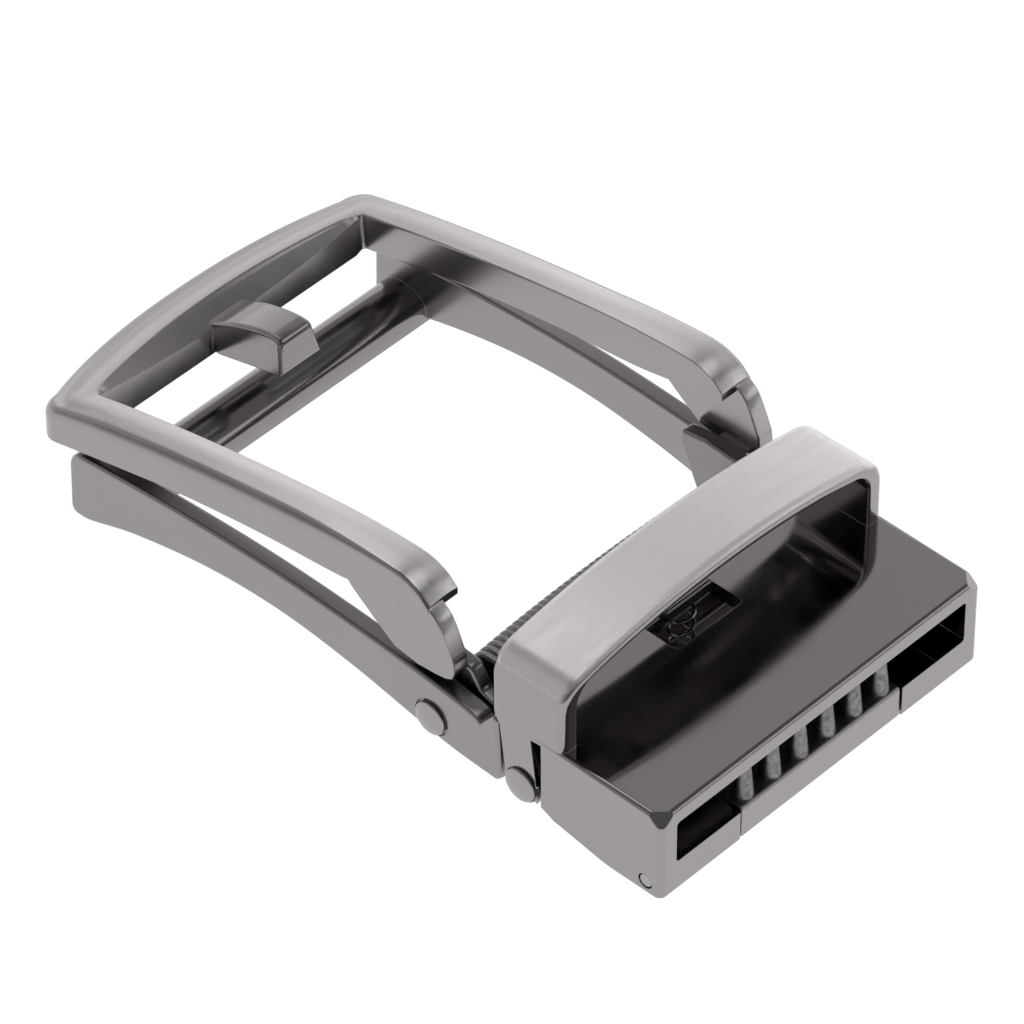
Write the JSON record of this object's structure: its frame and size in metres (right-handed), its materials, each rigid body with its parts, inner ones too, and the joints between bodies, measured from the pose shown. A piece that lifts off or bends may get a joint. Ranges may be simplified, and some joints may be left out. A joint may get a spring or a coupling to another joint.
{
  "type": "ratchet belt buckle",
  "caption": "Die-cast belt buckle: hinged open frame with a fixed prong, keeper loop, ribbed release lever with a sprung pawl, and a toothed clamp for a cut-to-fit strap.",
  "frame": {"origin": "middle of the bounding box's bottom face, on the plane that the buckle lies on", "axes": "+X runs from the frames' end bar to the clamp's mouth, along the belt; +Y runs across the buckle, whose two sides are mirror images; +Z is the face side"},
  "size_m": [0.0764, 0.041, 0.0185],
  "materials": {
    "back_frame": "polished gunmetal plating on a zinc alloy die casting",
    "face_frame": "brushed top, polished sides, gunmetal plating on a zinc alloy die casting",
    "head": "brushed loop, polished box, gunmetal plating on a zinc alloy die casting",
    "clamp_lever": "satin gunmetal plating on a zinc alloy die casting",
    "clamp_pin": "plated steel pin",
    "release_lever": "dark gunmetal plating, ribbed",
    "spring_steel": "bright spring wire",
    "rivet_steel": "plated steel rivets with low domed heads"
  },
  "bodies": {
    "back_frame": {"back_frame": "back_frame", "frame_rivet_near": "rivet_steel", "frame_rivet_far": "rivet_steel", "head_rivet_near": "rivet_steel", "head_rivet_far": "rivet_steel"},
    "face_frame": {"face_frame": "face_frame"},
    "head": {"head": "head", "clamp_pin": "clamp_pin", "lever_spring": "spring_steel"},
    "clamp_lever": {"clamp_lever": "clamp_lever"},
    "release_lever": {"release_lever": "release_lever"}
  },
  "joints": [
    {"name": "face_frame_hinge", "type": "hinge", "parent": "back_frame", "child": "face_frame", "pos_m": [0.01215, 0, 0.0039], "axis": [0, 1, 0], "range_deg": [0, 30]},
    {"name": "head_hinge", "type": "hinge", "parent": "back_frame", "child": "head", "pos_m": [0.0225, 0, 0.00305], "axis": [0, 1, 0], "range_deg": [0, 10]},
    {"name": "clamp_lever_hinge", "type": "hinge", "parent": "head", "child": "clamp_lever", "pos_m": [0.03645, 0, 0.0013], "axis": [0, -1, 0], "range_deg": [0, 90]},
    {"name": "release_lever_hinge", "type": "hinge", "parent": "back_frame", "child": "release_lever", "pos_m": [0.01215, 0, 0.0039], "axis": [0, 1, 0], "range_deg": [0, 10], "stiffness_Nm_per_rad": 0.03, "springref_deg": -8.59, "deforming": ["lever_spring"]}
  ]
}
